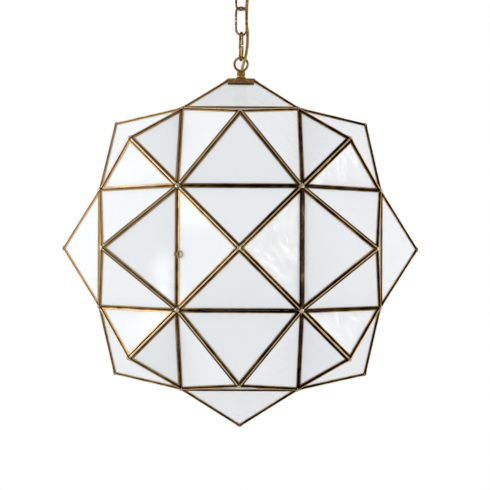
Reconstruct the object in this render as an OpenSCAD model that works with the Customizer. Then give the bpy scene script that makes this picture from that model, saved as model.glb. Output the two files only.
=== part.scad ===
// Pendant lantern of leaded opal glass: twenty-six glass points around a hinged
// front door, hung by three chain links from a round ceiling canopy.
// The origin is on the ceiling, +Z is up and the door faces -Y.

/* [Lantern body] */
// Side of every square and triangle that a glass point rises from
edge = 109.4; // [95:0.2:125]
// Height of the square points above their base
point_h = 41.5; // [34:0.5:50]

/* [Glass and cames] */
// Thickness of the opal glass
glass_t = 1.7; // [1.2:0.1:2.4]
// Thickness of the brass that wraps over each glass edge
came_wall = 0.35; // [0.25:0.05:0.6]
// Width of the brass strip seen along each pane edge
came_face = 2.2; // [1.8:0.1:3.2]
// Thickness of the strip's outer web, past the glass edge
came_web = 0.5; // [0.4:0.05:0.8]
// Play of the glass in its strip
glass_play = 0.05; // [0.03:0.01:0.1]
// Gap between the strips that meet in a valley
seam_gap = 0.3; // [0.2:0.05:0.5]
// Extra gap all round the door
door_gap = 0.35; // [0.2:0.05:0.6]

/* [Solder] */
// Radius of the bead along the ridges of the square points
ridge_bead_r = 0.95; // [0.8:0.05:1.1]
// Radius of the bead along the ridges of the corner points
corner_bead_r = 1.35; // [1.1:0.05:1.5]
// Radius of the hidden bead along each valley
valley_bead_r = 0.55; // [0.4:0.05:0.6]
// Radius of the blob on each tip
tip_blob_r = 1.9; // [1.5:0.1:2.2]
// Radius of the blob where the strips meet
hub_blob_r = 2.3; // [1.8:0.1:2.5]

/* [Top cap] */
// Width of the square top plate
cap_w = 25; // [22:0.5:30]
// Length of each flap folded down over the glass
flap_len = 10.7; // [7:0.1:14]
// Thickness of the cap's sheet brass
cap_t = 0.8; // [0.6:0.1:1.2]

/* [Hanging loops] */
// Radius of the ring, to the middle of its wire
ring_r = 6.5; // [6.2:0.1:8]
// Radius of the ring's wire
ring_wire_r = 1.15; // [0.9:0.05:1.3]
// Radius of the ball that carries the ring
loop_ball_r = 4.15; // [4:0.05:5]
// Radius of the collar below the ball
loop_collar_r = 4.35; // [4.2:0.05:5.5]
// Height of the collar
loop_collar_h = 2.6; // [2.4:0.1:4]
// Radius of the hollow stud that holds each loop
stud_r = 3; // [2.8:0.05:3.2]
// Radius of the washer on the cap
washer_r = 5.5; // [5:0.1:8]
// Thickness of the washer on the cap
washer_t = 2.2; // [1.2:0.1:3]
// Thickness of the washer at its edge
washer_edge = 0.7; // [0.4:0.1:0.9]

/* [Chain] */
// Length of a link, to the middle of its wire
link_len = 27.1; // [24:0.1:32]
// Width of a link, to the middle of its wire
link_w = 11.8; // [10.8:0.1:13]
// Radius of the link wire
link_wire_r = 1.1; // [0.9:0.05:1.2]
// Opening where the wire's ends meet
link_slit = 0.9; // [0.5:0.1:1.5]
// Running gap where two wires hang in each other
hang_gap = 0.3; // [0.2:0.05:0.5]

/* [Cable] */
// Radius of the cable
cable_r = 1.5; // [1.4:0.05:1.6]
// Play of the cable in the holes that it passes
cable_play = 0.2; // [0.1:0.05:0.3]

/* [Ceiling canopy] */
// Radius of the canopy
canopy_r = 52; // [50:0.5:65]
// Depth of the canopy below the ceiling
canopy_h = 28; // [27:0.5:34]
// Thickness of its spun brass
canopy_t = 1; // [0.8:0.1:1.4]
// Straight depth of the canopy's rim
canopy_rim_h = 12; // [11:0.5:14]
// Radius of the flat boss in its middle
boss_r = 10; // [9:0.5:14]
// Thickness of the nut below the canopy
canopy_nut_h = 5; // [3:0.5:8]
// Radius of that nut
canopy_nut_r = 8; // [6.5:0.5:9]
// Distance between the two ceiling screws
screw_pitch = 72; // [70:1:76]
// Radius of the holes for the ceiling screws
screw_hole_r = 2.25; // [1.75:0.05:2.75]
// Width of the ceiling bracket
bracket_w = 16; // [12:0.5:17]
// Thickness of the ceiling bracket
bracket_t = 1.5; // [1:0.1:2]

/* [Lampholder and bulb] */
// Radius of the stem tube under the cap
stem_r = 6.2; // [6:0.1:7.5]
// Length of the stem tube
stem_len = 24; // [20:0.5:30]
// Radius of the lampholder
holder_r = 19.5; // [18:0.5:22]
// Height of the lampholder's domed cap
holder_cap_h = 12; // [8:0.5:16]
// Height of the lampholder's skirt
holder_h = 28; // [27:0.5:34]
// Inner radius of the screw shell
socket_r = 13.3; // [13.1:0.1:13.6]
// Radius of the bulb at its widest
bulb_r = 30; // [22:0.5:34]
// Length of the bulb below the lampholder's rim
bulb_len = 84; // [75:1:95]

/* [Door hinge and latch] */
// Outer radius of the hinge knuckles
knuckle_r = 1.5; // [1.3:0.05:1.7]
// Radius of the hinge pin
hinge_pin_r = 0.8; // [0.6:0.05:0.9]
// Length of each knuckle on the lantern
knuckle_len = 17; // [12:0.5:22]
// Distance between the middles of those two knuckles
knuckle_pitch = 74; // [66:0.5:76]
// Height of the latch above the middle of the door
latch_z = -5.6; // [-14:0.1:14]
// Height of the wire loop of the latch
latch_h = 6.3; // [5.6:0.1:7.5]
// Reach of the wire loop from its pivot
latch_len = 5.6; // [5.2:0.1:6.5]
// Radius of the latch wire
latch_wire_r = 0.45; // [0.35:0.05:0.5]

/* [Hidden] */
$fn = 48;

brass = "#8a6a3c";
bright_brass = "#b08a4e";
solder_colour = "#9b8457";
opal = "#e6eaee";
steel = "#9aa0a4";
ceramic = "#efeae0";
cord_colour = "#a3824d";

// Shared small clearances: parts that are fixed together, and parts that turn
seat = 0.05;
turn = 0.05;

// The solid behind the points is a rhombicuboctahedron: 18 squares, 8 triangles
square_in = edge / 2;
corner_in = edge / (2 * sqrt(3));
square_dist = edge * (1 + sqrt(2)) / 2;
corner_dist = edge * (3 + sqrt(2)) / (2 * sqrt(3));
tip_dist = square_dist + point_h;
corner_h = tip_dist - corner_dist;
corner_elevation = asin(1 / sqrt(3));

// Slope of the panes and their height from base to tip
square_slope = atan(point_h / square_in);
corner_slope = atan(corner_h / corner_in);
square_slant = norm([square_in, point_h]);
corner_slant = norm([corner_in, corner_h]);

// Angle between the normals of two panes that share a ridge
function ridge_turn(slope, sides) =
    acos(pow(cos(slope), 2) + pow(sin(slope), 2) * cos(360 / sides));
square_ridge_turn = ridge_turn(square_slope, 4);
corner_ridge_turn = ridge_turn(corner_slope, 3);

// A pane is as thick as its strip, and stays back from the ridge by that much
// that the next pane's inner edge just meets its own
came_t = glass_t + 2 * (came_wall + glass_play);
square_ridge_inset = came_t * tan(square_ridge_turn / 2) + seat;
corner_ridge_inset = came_t * tan(corner_ridge_turn / 2) + seat;

// How far the strips' corners are cut back for the solder blobs
corner_cut = 1.6;
tip_cut = 0.7;

// A pane's numbers: half of its base, its slant, the inset at its two ridges and
// how many panes the point has
square_pane = [square_in, square_slant, square_ridge_inset, 4];
corner_pane = [edge / 2, corner_slant, corner_ridge_inset, 3];

// Top cap: the flaps' outer faces meet the plate's edges
cap_top_z = tip_dist - (cap_w / 2 - (cap_t + seat) / sin(square_slope)) * tan(square_slope);
cap_under_z = cap_top_z - cap_t;
cap_cut_slant = (cap_under_z - 2 * seat - square_dist) / sin(square_slope);

// Loops: heights above the collar's base
loop_ball_z = loop_collar_h + 1.4;
loop_ring_z = loop_ball_z + loop_ball_r - 1.55 + ring_r;
loop_foot_h = 0.8;
loop_waist_r = stud_r + 0.6;
loop_hole_r = cable_r + cable_play;
loop_hole_z = 2;
loop_hole_tilt = 24.2;
socket_depth = 1.8;

// Heights from the ceiling down
canopy_loop_z = -canopy_h - canopy_nut_h - seat;
hang_ring = ring_wire_r + link_wire_r + hang_gap;
hang_link = 2 * link_wire_r + hang_gap;
pivot_1_z = canopy_loop_z - loop_ring_z - ring_r;
link_1_z = pivot_1_z + hang_ring - link_len / 2;
pivot_2_z = link_1_z - link_len / 2;
link_2_z = pivot_2_z + hang_link - link_len / 2;
pivot_3_z = link_2_z - link_len / 2;
link_3_z = pivot_3_z + hang_link - link_len / 2;
pivot_4_z = link_3_z - link_len / 2;
lantern_loop_z = pivot_4_z + hang_ring - ring_r - loop_ring_z;
lamp_z = lantern_loop_z - washer_t - cap_top_z;

// Turns of the links and loops about the vertical, as they hang
canopy_loop_turn = 60;
link_1_turn = -30;
link_2_turn = 30;
link_3_turn = -78;
lantern_loop_turn = 0;

// Route of the cable, from the lantern's loop up to the canopy's loop. Its heights
// are measured from the canopy's loop, on a chain that drops by drawn_drop
drawn_drop = 110.4;
chain_drop = canopy_loop_z - lantern_loop_z;
cable_points = [
    [0, 0, -109.95], [0, 0, -108.35], [1.2, -2.9, -101.35], [2.2, -4, -97.55],
    [3.6, -4.2, -93.35], [4.7, -3.6, -88.95], [5.4, -2.4, -83.95], [6, -0.6, -78.45],
    [6.2, 1.4, -72.95], [6.2, 3.4, -68.75], [6.3, 5.4, -64.95], [5.5, 6.1, -59.95],
    [5.2, 6.1, -54.55], [5.2, 6.1, -48.95], [5.3, 5.9, -42.95], [5.6, 5.2, -36.95],
    [6, 4, -30.95], [6.2, 2.4, -25.35], [5.9, 0.6, -19.95], [5, -0.9, -14.95],
    [2.75, -1.6, -8.95], [0, 0, -1.95], [0, 0, -0.35]
];
cable_route = [for (p = cable_points)
    [p[0], p[1], canopy_loop_z + p[2] * chain_drop / drawn_drop]];
// Where the route is split, one stretch past each hanging point
cable_ends = [0, 7, 12, 16, 22];
// Route of the cable inside the canopy, from its loop to the terminal block
canopy_route = [
    cable_route[len(cable_route) - 1], [0, 0, -24], [0, 0, -14], [1.6, -3.6, -9.6],
    [6, -9.6, -7.6], [12, -13.6, -7], [16.6, -14, -7], [18.6, -11.4, -7], [18.6, -8.1, -7]
];
cable_sides = 8;

// Top of the stem that carries the lampholder
stem_wall = 1;
stem_top_z = cap_under_z - seat;
stem_roof = 1.5;
nut_h = 3;
nut_r = 4.8;
stud_bore_r = cable_r + cable_play;
holder_neck_h = 6;
holder_wall = 1.2;
holder_top_z = stem_top_z - stem_len;
holder_skirt_z = holder_top_z - holder_cap_h;
holder_rim_z = holder_skirt_z - holder_h;
insert_h = 8;
shell_t = 0.6;
bulb_cap_r = socket_r - 0.3;
bulb_wall = 0.8;
bulb_neck_r = bulb_cap_r - 0.4;
bulb_top_z = holder_rim_z - 3 - seat;
bulb_ball_z = holder_rim_z - bulb_len + bulb_r;
bulb_join = 130;

// Ceiling bracket and its ears
ear_gap = 3.5;
ear_x = canopy_r - canopy_t - ear_gap;
ear_h = 14;
ear_w = 12;
ear_hole_z = -8;
ear_screw_r = 1.5;
screw_head_r = 3.6;
screw_head_h = 2.4;
screw_head_edge = 0.8;
grip_h = 6;
grip_w = 8;
block_x0 = 9;
block_l = 19;
block_w = 16;
block_h = 11;

// Door: the hinge line runs outside the valley on the door's right
half_valley = (2 * square_slope - 45) / 2;
hinge_out = (knuckle_r + 0.3) / cos(half_valley);
hinge_x = square_in + hinge_out * sin(22.5);
hinge_y = -square_dist - hinge_out * cos(22.5);
leaf_t = 0.6;
leaf_w = came_face;
hinge_bore_r = hinge_pin_r + turn;
knuckle_gap = 0.3;
hinge_len = edge - 6.4;

// Latch: pivot tube on the door's left strip, catch on the lantern's strip
latch_tube_r = 0.95;
latch_tube_h = 3.4;
latch_seat = 1.35;
catch_h = 3.4;
catch_from = 0.9;
catch_w = 1.5;
catch_out = 1.9;

// Places a child on a face of the solid behind the points, +Z outwards
module on_face(azimuth, elevation, dist) {
    rotate([0, 0, azimuth])
        rotate([0, 90 - elevation, 0])
            translate([0, 0, dist])
                children();
}

// Turns copies of a child about the middle of a face
module around(sides) {
    for (k = [0 : sides - 1])
        rotate([0, 0, 360 * k / sides])
            children();
}

// Moves a child from the lantern's middle to its place below the ceiling
module in_lantern() {
    translate([0, 0, lamp_z])
        children();
}

// Lies a child on a pane: its X runs down the slope from the base edge
module on_square_pane() {
    translate([square_in, 0, 0])
        rotate([0, square_slope, 0])
            children();
}

module on_corner_pane() {
    translate([corner_in, 0, 0])
        rotate([0, corner_slope, 0])
            children();
}

// Half of the angle at a pane's tip, and its half width at a height up the slope
function tip_angle(p) = atan(p[0] / p[1]);
function half_width(p, up, inset) =
    (p[1] - up) * tan(tip_angle(p)) - (p[2] + inset) / cos(tip_angle(p));

// Cut at a corner after the outline has moved in by inset
function corner_left(p, inset) =
    let (half = (90 - tip_angle(p)) / 2)
    max(0.2, corner_cut - inset * (1 / sin(half) - 1) / cos(half));
function tip_left(p, inset) =
    max(0.15, tip_cut - inset * (1 - sin(tip_angle(p))) / cos(tip_angle(p)));
function tip_up(p, inset) =
    p[1] - (tip_left(p, inset) + (p[2] + inset) / cos(tip_angle(p))) / tan(tip_angle(p));

// Outline of a pane, moved in by inset, with base_gap at its base edge and its
// top at most at height top
module pane_outline(p, inset, base_gap, top = 1000) {
    low = base_gap + inset;
    wide = half_width(p, low, inset);
    cut = corner_left(p, inset);
    high = min(tip_up(p, inset), top - inset);
    narrow = half_width(p, high, inset);
    polygon([
        [-low, wide - cut],
        [-low, cut - wide],
        [-low - cut * cos(tip_angle(p)), cut * sin(tip_angle(p)) - wide],
        [-high, -narrow],
        [-high, narrow],
        [-low - cut * cos(tip_angle(p)), wide - cut * sin(tip_angle(p))]
    ]);
}

// Brass strip bent round a pane: a frame with a slot for the glass inside
module came(p, base_gap, top = 1000) {
    difference() {
        translate([0, 0, -came_t])
            linear_extrude(came_t)
                pane_outline(p, 0, base_gap, top);
        translate([0, 0, -came_t - 1])
            linear_extrude(came_t + 2)
                pane_outline(p, came_face, base_gap, top);
        translate([0, 0, -came_t + came_wall])
            linear_extrude(came_t - 2 * came_wall)
                pane_outline(p, came_web, base_gap, top);
    }
}

module glass(p, base_gap, top = 1000) {
    translate([0, 0, -came_wall - glass_play - glass_t])
        linear_extrude(glass_t)
            pane_outline(p, came_web + glass_play, base_gap, top);
}

module square_point_glass(base_gap = seam_gap / 2, top = 1000) {
    color(opal)
        around(4)
            on_square_pane()
                glass(square_pane, base_gap, top);
}

module square_point_cames(base_gap = seam_gap / 2, top = 1000) {
    color(brass)
        around(4)
            on_square_pane()
                came(square_pane, base_gap, top);
}

module corner_point_glass() {
    color(opal)
        around(3)
            on_corner_pane()
                glass(corner_pane, seam_gap / 2);
}

module corner_point_cames() {
    color(brass)
        around(3)
            on_corner_pane()
                came(corner_pane, seam_gap / 2);
}

// The four corner triangles and the squares of the upper ring
module on_upper_squares() {
    for (k = [0 : 3])
        on_face(90 * k, 45, square_dist)
            children();
}

module on_upper_corners() {
    for (k = [0 : 3])
        on_face(45 + 90 * k, corner_elevation, corner_dist)
            children();
}

// The belt's squares that face -X, +X and +Y; the fourth one is the door
module on_belt_squares() {
    for (azimuth = [0, 90, 180])
        on_face(azimuth, 0, square_dist)
            children();
}

module on_belt_diagonals() {
    for (k = [0 : 3])
        on_face(45 + 90 * k, 0, square_dist)
            children();
}

module on_door() {
    on_face(-90, 0, square_dist)
        children();
}

module below() {
    mirror([0, 0, 1])
        children();
}

// Ridge beads of one point, lying in the groove between neighbouring strips
module ridge_beads(base_r, height, inset, bead_r, turn_angle, sides, corner, top) {
    length = norm([base_r, height]);
    lean = atan(base_r / height);
    depth = norm([inset, came_t]) - (bead_r + seat) / sin(turn_angle / 2);
    low = hub_blob_r + 0.4;
    high = min(length - tip_blob_r - 0.4, top);
    color(solder_colour)
        for (k = [0 : sides - 1])
            rotate([0, 0, 360 * k / sides + corner])
                translate([base_r, 0, 0])
                    rotate([0, -lean, 0])
                        translate([-depth, 0, low])
                            cylinder(r = bead_r, h = high - low, $fn = 24);
}

module square_beads(top = 1000) {
    ridge_beads(square_in * sqrt(2), point_h, square_ridge_inset, ridge_bead_r,
        square_ridge_turn, 4, 45, top);
}

module corner_beads() {
    ridge_beads(corner_in * 2, corner_h, corner_ridge_inset, corner_bead_r,
        corner_ridge_turn, 3, 60, 1000);
}

// Beads behind the valleys round one face, seen only from inside
module valley_beads(sides, inradius, own_tilt, next_tilt) {
    lean = (own_tilt + next_tilt) / 2;
    depth = (valley_bead_r + seat) / sin((own_tilt - next_tilt) / 2) + 0.3;
    color(solder_colour)
        around(sides)
            translate([inradius, 0, 0])
                rotate([0, lean, 0])
                    translate([0, 0, -depth])
                        rotate([90, 0, 0])
                            cylinder(r = valley_bead_r, h = edge - 16, center = true, $fn = 24);
}

module square_valleys() {
    valley_beads(4, square_in, square_slope, 45 - square_slope);
}

module corner_valleys() {
    valley_beads(3, corner_in, corner_slope,
        acos(2 / sqrt(6)) - square_slope);
}

module tip_blob(height) {
    color(bright_brass)
        translate([0, 0, height - 0.5])
            sphere(r = tip_blob_r, $fn = 24);
}

// Hub blobs stand at the 24 corners of the solid behind the points
module hub_blobs() {
    color(bright_brass)
        for (z = [-1, 1], k = [0 : 3])
            rotate([0, 0, 90 * k]) {
                translate([square_in, square_in, z * square_dist])
                    sphere(r = hub_blob_r, $fn = 24);
                translate([square_dist, square_in, z * square_in])
                    sphere(r = hub_blob_r, $fn = 24);
                translate([square_dist, -square_in, z * square_in])
                    sphere(r = hub_blob_r, $fn = 24);
            }
}

// Glass, tier by tier
module glass_top() {
    in_lantern()
        on_face(0, 90, square_dist)
            square_point_glass(top = cap_cut_slant);
}

module glass_upper_squares() {
    in_lantern()
        on_upper_squares()
            square_point_glass();
}

module glass_upper_corners() {
    in_lantern()
        on_upper_corners()
            corner_point_glass();
}

module glass_belt_squares() {
    in_lantern()
        on_belt_squares()
            square_point_glass();
}

module glass_belt_diagonals() {
    in_lantern()
        on_belt_diagonals()
            square_point_glass();
}

module glass_lower_squares() {
    in_lantern()
        below()
            on_upper_squares()
                square_point_glass();
}

module glass_lower_corners() {
    in_lantern()
        below()
            on_upper_corners()
                corner_point_glass();
}

module glass_bottom() {
    in_lantern()
        below()
            on_face(0, 90, square_dist)
                square_point_glass();
}

// Brass strips, tier by tier
module came_top() {
    in_lantern()
        on_face(0, 90, square_dist)
            square_point_cames(top = cap_cut_slant);
}

module came_upper_squares() {
    in_lantern()
        on_upper_squares()
            square_point_cames();
}

module came_upper_corners() {
    in_lantern()
        on_upper_corners()
            corner_point_cames();
}

module came_belt_squares() {
    in_lantern()
        on_belt_squares()
            square_point_cames();
}

module came_belt_diagonals() {
    in_lantern()
        on_belt_diagonals()
            square_point_cames();
}

module came_lower_squares() {
    in_lantern()
        below()
            on_upper_squares()
                square_point_cames();
}

module came_lower_corners() {
    in_lantern()
        below()
            on_upper_corners()
                corner_point_cames();
}

module came_bottom() {
    in_lantern()
        below()
            on_face(0, 90, square_dist)
                square_point_cames();
}

// Solder that joins the strips
module ridge_solder() {
    top_ridge = (cap_under_z - 1 - square_dist) / point_h * norm([square_in * sqrt(2), point_h]);
    in_lantern() {
        on_face(0, 90, square_dist)
            square_beads(top_ridge);
        on_upper_squares()
            square_beads();
        on_upper_corners()
            corner_beads();
        on_belt_squares()
            square_beads();
        on_belt_diagonals()
            square_beads();
        below() {
            on_face(0, 90, square_dist)
                square_beads();
            on_upper_squares()
                square_beads();
            on_upper_corners()
                corner_beads();
        }
    }
}

module valley_solder() {
    in_lantern() {
        on_face(0, 90, square_dist)
            square_valleys();
        on_belt_squares()
            square_valleys();
        on_upper_corners()
            corner_valleys();
        below() {
            on_face(0, 90, square_dist)
                square_valleys();
            on_upper_corners()
                corner_valleys();
        }
    }
}

module solder_blobs() {
    in_lantern() {
        on_upper_squares()
            tip_blob(point_h);
        on_upper_corners()
            tip_blob(corner_h);
        on_belt_squares()
            tip_blob(point_h);
        on_belt_diagonals()
            tip_blob(point_h);
        below() {
            on_face(0, 90, square_dist)
                tip_blob(point_h);
            on_upper_squares()
                tip_blob(point_h);
            on_upper_corners()
                tip_blob(corner_h);
        }
        hub_blobs();
    }
}

// Cap: a square plate with four flaps folded down over the glass
module top_cap() {
    plate_from = (cap_under_z - square_dist) / sin(square_slope);
    color(brass)
        in_lantern()
            difference() {
                union() {
                    translate([-cap_w / 2, -cap_w / 2, cap_under_z])
                        cube([cap_w, cap_w, cap_t]);
                    intersection() {
                        translate([0, 0, square_dist])
                            around(4)
                                on_square_pane()
                                    translate([-plate_from - 4, -cap_w / 2, seat])
                                        cube([4 + flap_len, cap_w, cap_t]);
                        translate([-cap_w * 2, -cap_w * 2, cap_top_z - 3 * flap_len])
                            cube([cap_w * 4, cap_w * 4, 3 * flap_len]);
                    }
                }
                translate([0, 0, cap_under_z - 30])
                    cylinder(r = stud_r + seat, h = 60);
                flap_core();
            }
}

// Room that the flaps leave for the ends of the panes
module flap_core() {
    translate([0, 0, cap_under_z - 2 * flap_len])
        linear_extrude(2 * flap_len)
            square(cap_w - 4, center = true);
}

// Loop: foot, waist, ball and ring in one casting, with a slanting hole for the cable
module loop(hole_turn) {
    difference() {
        union() {
            cylinder(r = loop_collar_r, h = loop_foot_h);
            cylinder(r = loop_waist_r, h = loop_collar_h);
            translate([0, 0, loop_ball_z])
                intersection() {
                    sphere(r = loop_ball_r);
                    translate([0, 0, loop_ball_r - loop_ball_z])
                        cube(2 * loop_ball_r, center = true);
                }
            translate([0, 0, loop_ring_z])
                rotate([90, 0, 0])
                    rotate_extrude()
                        translate([ring_r, 0])
                            circle(r = ring_wire_r, $fn = 32);
        }
        translate([0, 0, -1])
            cylinder(r = stud_r + seat, h = 1 + socket_depth);
        cylinder(r = loop_hole_r, h = loop_hole_z + 0.4);
        translate([0, 0, loop_hole_z])
            rotate([0, 0, hole_turn])
                rotate([0, loop_hole_tilt, 0])
                    translate([0, 0, -0.3])
                        cylinder(r = loop_hole_r, h = 3 * loop_ball_r);
    }
}

module lantern_loop() {
    color(brass)
        translate([0, 0, lantern_loop_z])
            rotate([0, 0, lantern_loop_turn])
                loop(-67.5);
}

module loop_washer() {
    color(bright_brass)
        translate([0, 0, lamp_z + cap_top_z])
            difference() {
                union() {
                    cylinder(r = washer_r, h = washer_edge);
                    translate([0, 0, washer_edge])
                        cylinder(
                            r1 = washer_r, r2 = loop_collar_r + 0.2, h = washer_t - washer_edge
                        );
                }
                translate([0, 0, -1])
                    cylinder(r = stud_r + seat, h = washer_t + 2);
            }
}

// Hollow threaded stud with the cable in its bore
module hollow_stud(length) {
    difference() {
        cylinder(r = stud_r, h = length);
        translate([0, 0, -1])
            cylinder(r = stud_bore_r, h = length + 2);
    }
}

module lock_nut() {
    difference() {
        cylinder(r = nut_r, h = nut_h, $fn = 6);
        translate([0, 0, -1])
            cylinder(r = stud_r + seat, h = nut_h + 2);
    }
}

module lantern_stud() {
    low = stem_top_z - stem_roof - nut_h - 1.5;
    high = cap_top_z + washer_t + socket_depth - seat;
    color(steel)
        in_lantern()
            translate([0, 0, low])
                hollow_stud(high - low);
}

module lantern_stud_nut() {
    color(steel)
        in_lantern()
            translate([0, 0, stem_top_z - stem_roof - seat - nut_h])
                lock_nut();
}

// Tube that the lampholder hangs from
module stem_tube() {
    color(brass)
        in_lantern()
            translate([0, 0, holder_top_z])
                difference() {
                    cylinder(r = stem_r, h = stem_len);
                    translate([0, 0, -1])
                        cylinder(r = stem_r - stem_wall, h = stem_len - stem_roof + 1);
                    cylinder(r = stud_r + seat, h = stem_len + 1);
                }
}

module stem_cable() {
    low = holder_top_z - 4;
    color(cord_colour)
        translate([0, 0, lamp_z + low])
            cylinder(r = cable_r, h = cable_route[0][2] - lamp_z - low);
}

// Domed cap of the lampholder, clamped round the end of the stem tube
module lampholder_cap() {
    neck_r = stem_r + 1.6;
    bend = 5;
    color(bright_brass)
        in_lantern()
            rotate_extrude()
                polygon(concat(
                    [
                        [stem_r + seat, holder_top_z + holder_neck_h],
                        [neck_r, holder_top_z + holder_neck_h],
                        [neck_r, holder_top_z]
                    ],
                    [for (k = [0 : 6])
                        [holder_r - bend + bend * sin(15 * k),
                            holder_top_z - 3 - bend + bend * cos(15 * k)]],
                    [
                        [holder_r, holder_skirt_z],
                        [holder_r - holder_wall, holder_skirt_z]
                    ],
                    [for (k = [6 : -1 : 0])
                        [holder_r - bend + (bend - holder_wall) * sin(15 * k),
                            holder_top_z - 3 - bend + (bend - holder_wall) * cos(15 * k)]],
                    [
                        [cable_r + 0.6, holder_top_z - 1.2],
                        [cable_r + 0.6, holder_top_z - seat],
                        [stem_r + seat, holder_top_z - seat]
                    ]
                ));
}

module lampholder_skirt() {
    color(bright_brass)
        in_lantern()
            translate([0, 0, holder_rim_z])
                difference() {
                    union() {
                        cylinder(r = holder_r, h = holder_h - seat);
                        cylinder(r = holder_r + 0.8, h = 2.2);
                        translate([0, 0, holder_h - 3.2])
                            cylinder(r = holder_r + 0.8, h = 2.2);
                    }
                    translate([0, 0, -1])
                        cylinder(r = holder_r - holder_wall, h = holder_h + 2);
                }
}

module lampholder_insert() {
    color(ceramic)
        in_lantern()
            translate([0, 0, holder_skirt_z - insert_h])
                difference() {
                    cylinder(r = holder_r - holder_wall - seat, h = insert_h);
                    translate([0, 0, -1])
                        cylinder(r = socket_r - 1.2, h = 4);
                }
}

module screw_shell() {
    color(bright_brass)
        in_lantern()
            translate([0, 0, holder_rim_z + 1])
                difference() {
                    cylinder(r = socket_r + shell_t, h = holder_h - insert_h - 1 - seat);
                    translate([0, 0, -1])
                        cylinder(r = socket_r, h = holder_h);
                }
}

module centre_contact() {
    color(bright_brass)
        in_lantern()
            translate([-2.5, -2, holder_skirt_z - insert_h + 3 - 0.6 - seat])
                cube([10, 4, 0.6]);
}

// Hollow Edison cap of the bulb, up to its centre contact
module bulb_cap() {
    top = holder_skirt_z - insert_h + 3 - 0.6 - 2 * seat;
    low = holder_rim_z - 3;
    wall = 0.5;
    color(steel)
        in_lantern()
            rotate_extrude()
                polygon([
                    [bulb_cap_r - wall, low],
                    [bulb_cap_r, low],
                    [bulb_cap_r, top - 5.5],
                    [socket_r - 1.8, top - 4.2],
                    [4.8, top - 1.4],
                    [4.8, top],
                    [0, top],
                    [0, top - 1.4 - wall],
                    [4.6, top - 1.4 - wall],
                    [socket_r - 2, top - 4.2 - wall],
                    [bulb_cap_r - wall, top - 5.5 - wall]
                ]);
}

// Half outline of the bulb: a ball that runs into the neck with a smooth S curve
function bulb_curve(wall) =
    let (
        r = bulb_r - wall,
        join_r = r * sin(bulb_join),
        join_z = bulb_ball_z - r * cos(bulb_join),
        span = bulb_neck_r - wall - join_r
    )
    concat(
        [for (k = [0 : 10 : bulb_join]) [r * sin(k), bulb_ball_z - r * cos(k)]],
        [for (k = [1 : 6])
            let (t = k / 6)
            [join_r + span * (0.7 * (3 * t * t - 2 * t * t * t) + 0.3 * t),
                join_z + (bulb_top_z - join_z) * t]]
    );

module bulb_glass() {
    color("#f2f0e8")
        in_lantern()
            rotate_extrude()
                polygon(concat(bulb_curve(0), backwards(bulb_curve(bulb_wall))));
}

// Chain link: two straight legs and two round ends, with a slit in one leg
module chain_link(slit_side) {
    straight = link_len - link_w;
    rotate([90, 0, 0])
        difference() {
            union() {
                for (side = [-1, 1])
                    translate([side * link_w / 2, -straight / 2, 0])
                        rotate([-90, 0, 0])
                            cylinder(r = link_wire_r, h = straight, $fn = 32);
                for (end = [0, 180])
                    rotate([0, 0, end])
                        translate([0, straight / 2, 0])
                            rotate_extrude(angle = 180)
                                translate([link_w / 2, 0])
                                    circle(r = link_wire_r, $fn = 32);
            }
            translate([slit_side * link_w / 2, 0, 0])
                cube([4 * link_wire_r, link_slit, 4 * link_wire_r], center = true);
        }
}

module chain_link_1() {
    color(brass)
        translate([0, 0, link_1_z])
            rotate([0, 0, link_1_turn])
                chain_link(-1);
}

module chain_link_2() {
    color(brass)
        translate([0, 0, link_2_z])
            rotate([0, 0, link_2_turn])
                chain_link(-1);
}

module chain_link_3() {
    color(brass)
        translate([0, 0, link_3_z])
            rotate([0, 0, link_3_turn])
                chain_link(1);
}

// Tube swept along a route, with rings square to it
function unit(v) = v / norm(v);
function heading(route, i) =
    i == 0 ? unit(route[1] - route[0])
    : i == len(route) - 1 ? unit(route[i] - route[i - 1])
    : unit(unit(route[i] - route[i - 1]) + unit(route[i + 1] - route[i]));
function side_of(t) = unit(cross([0, 1, 0.2], t));
function ring_at(route, i) =
    let (t = heading(route, i), u = side_of(t), v = cross(t, u))
    [for (k = [0 : cable_sides - 1])
        route[i] + cable_r * (cos(360 * k / cable_sides) * u + sin(360 * k / cable_sides) * v)];

module cable_tube(route, first, last) {
    rings = [for (i = [first : last]) each ring_at(route, i)];
    n = cable_sides;
    count = last - first + 1;
    color(cord_colour)
        polyhedron(
            points = rings,
            faces = concat(
                [[for (k = [0 : n - 1]) k]],
                [[for (k = [n - 1 : -1 : 0]) (count - 1) * n + k]],
                [for (i = [0 : count - 2], k = [0 : n - 1])
                    [i * n + k, (i + 1) * n + k, (i + 1) * n + (k + 1) % n]],
                [for (i = [0 : count - 2], k = [0 : n - 1])
                    [i * n + k, (i + 1) * n + (k + 1) % n, i * n + (k + 1) % n]]
            ),
            convexity = 4
        );
}

module cable_4() {
    cable_tube(cable_route, cable_ends[0], cable_ends[1]);
}

module cable_3() {
    cable_tube(cable_route, cable_ends[1], cable_ends[2]);
}

module cable_2() {
    cable_tube(cable_route, cable_ends[2], cable_ends[3]);
}

module cable_1() {
    cable_tube(cable_route, cable_ends[3], cable_ends[4]);
}

module canopy_cable() {
    cable_tube(canopy_route, 0, len(canopy_route) - 1);
}

// Outline of the canopy's outside, moved in by the wall for its inside
function canopy_curve(wall) = [
    for (k = [0 : 12])
        let (a = 90 * k / 12)
        [boss_r + 4 + (canopy_r - wall - boss_r - 4) * cos(a),
            -canopy_rim_h - (canopy_h - 2 - wall - canopy_rim_h) * sin(a)]
];
function backwards(list) = [for (k = [len(list) - 1 : -1 : 0]) list[k]];

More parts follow.
